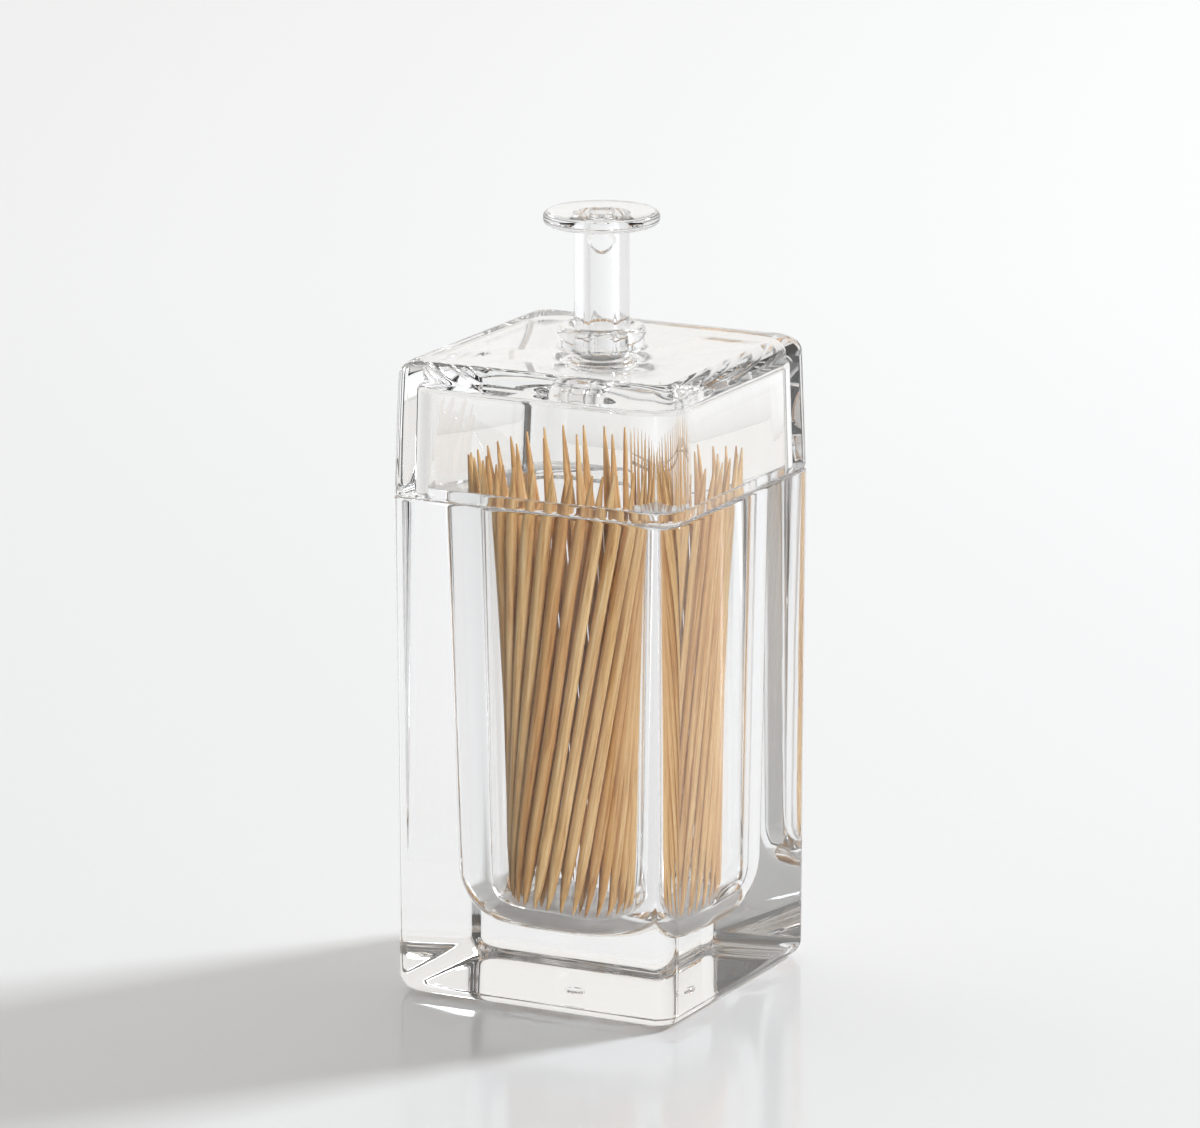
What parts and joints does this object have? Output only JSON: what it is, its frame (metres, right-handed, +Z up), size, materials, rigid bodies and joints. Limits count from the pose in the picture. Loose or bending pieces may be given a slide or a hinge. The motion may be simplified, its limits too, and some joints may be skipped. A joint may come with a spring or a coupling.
{
  "type": "toothpick dispenser",
  "caption": "Clear square toothpick dispenser: heavy jar with a round-cornered well, lift-off lid and a press plunger tube that slides in the lid's collar.",
  "frame": {"origin": "middle of the flat face the jar stands on", "axes": "+Z up along the plunger; the jar's sides face along X and Y"},
  "size_m": [0.0424, 0.0424, 0.1061],
  "materials": {
    "clear_plastic": "polished",
    "birch_wood": "raw"
  },
  "bodies": {
    "jar_body": {"jar": "clear_plastic", "toothpick_01": "birch_wood", "toothpick_02": "birch_wood", "toothpick_03": "birch_wood", "toothpick_04": "birch_wood", "toothpick_05": "birch_wood", "toothpick_06": "birch_wood", "toothpick_07": "birch_wood", "toothpick_08": "birch_wood", "toothpick_09": "birch_wood", "toothpick_10": "birch_wood", "toothpick_11": "birch_wood", "toothpick_12": "birch_wood", "toothpick_13": "birch_wood", "toothpick_14": "birch_wood", "toothpick_15": "birch_wood", "toothpick_16": "birch_wood", "toothpick_17": "birch_wood", "toothpick_18": "birch_wood", "toothpick_19": "birch_wood", "toothpick_20": "birch_wood", "toothpick_21": "birch_wood", "toothpick_22": "birch_wood", "toothpick_23": "birch_wood", "toothpick_24": "birch_wood", "toothpick_25": "birch_wood", "toothpick_26": "birch_wood", "toothpick_27": "birch_wood", "toothpick_28": "birch_wood", "toothpick_29": "birch_wood", "toothpick_30": "birch_wood", "toothpick_31": "birch_wood", "toothpick_32": "birch_wood", "toothpick_33": "birch_wood", "toothpick_34": "birch_wood", "toothpick_35": "birch_wood", "toothpick_36": "birch_wood", "toothpick_37": "birch_wood", "toothpick_38": "birch_wood", "toothpick_39": "birch_wood", "toothpick_40": "birch_wood", "toothpick_41": "birch_wood", "toothpick_42": "birch_wood", "toothpick_43": "birch_wood", "toothpick_44": "birch_wood", "toothpick_45": "birch_wood", "toothpick_46": "birch_wood", "toothpick_47": "birch_wood", "toothpick_48": "birch_wood", "toothpick_49": "birch_wood", "toothpick_50": "birch_wood", "toothpick_51": "birch_wood", "toothpick_52": "birch_wood", "toothpick_53": "birch_wood", "toothpick_54": "birch_wood", "toothpick_55": "birch_wood", "toothpick_56": "birch_wood", "toothpick_57": "birch_wood"},
    "lid_body": {"lid": "clear_plastic"},
    "plunger_body": {"plunger": "clear_plastic"}
  },
  "joints": [
    {"name": "lid_lift", "type": "slide", "parent": "jar_body", "child": "lid_body", "axis": [0, 0, 1], "range_m": [0, 0.03]},
    {"name": "plunger_press", "type": "slide", "parent": "lid_body", "child": "plunger_body", "axis": [0, 0, 1], "range_m": [-0.0134, 0]}
  ]
}
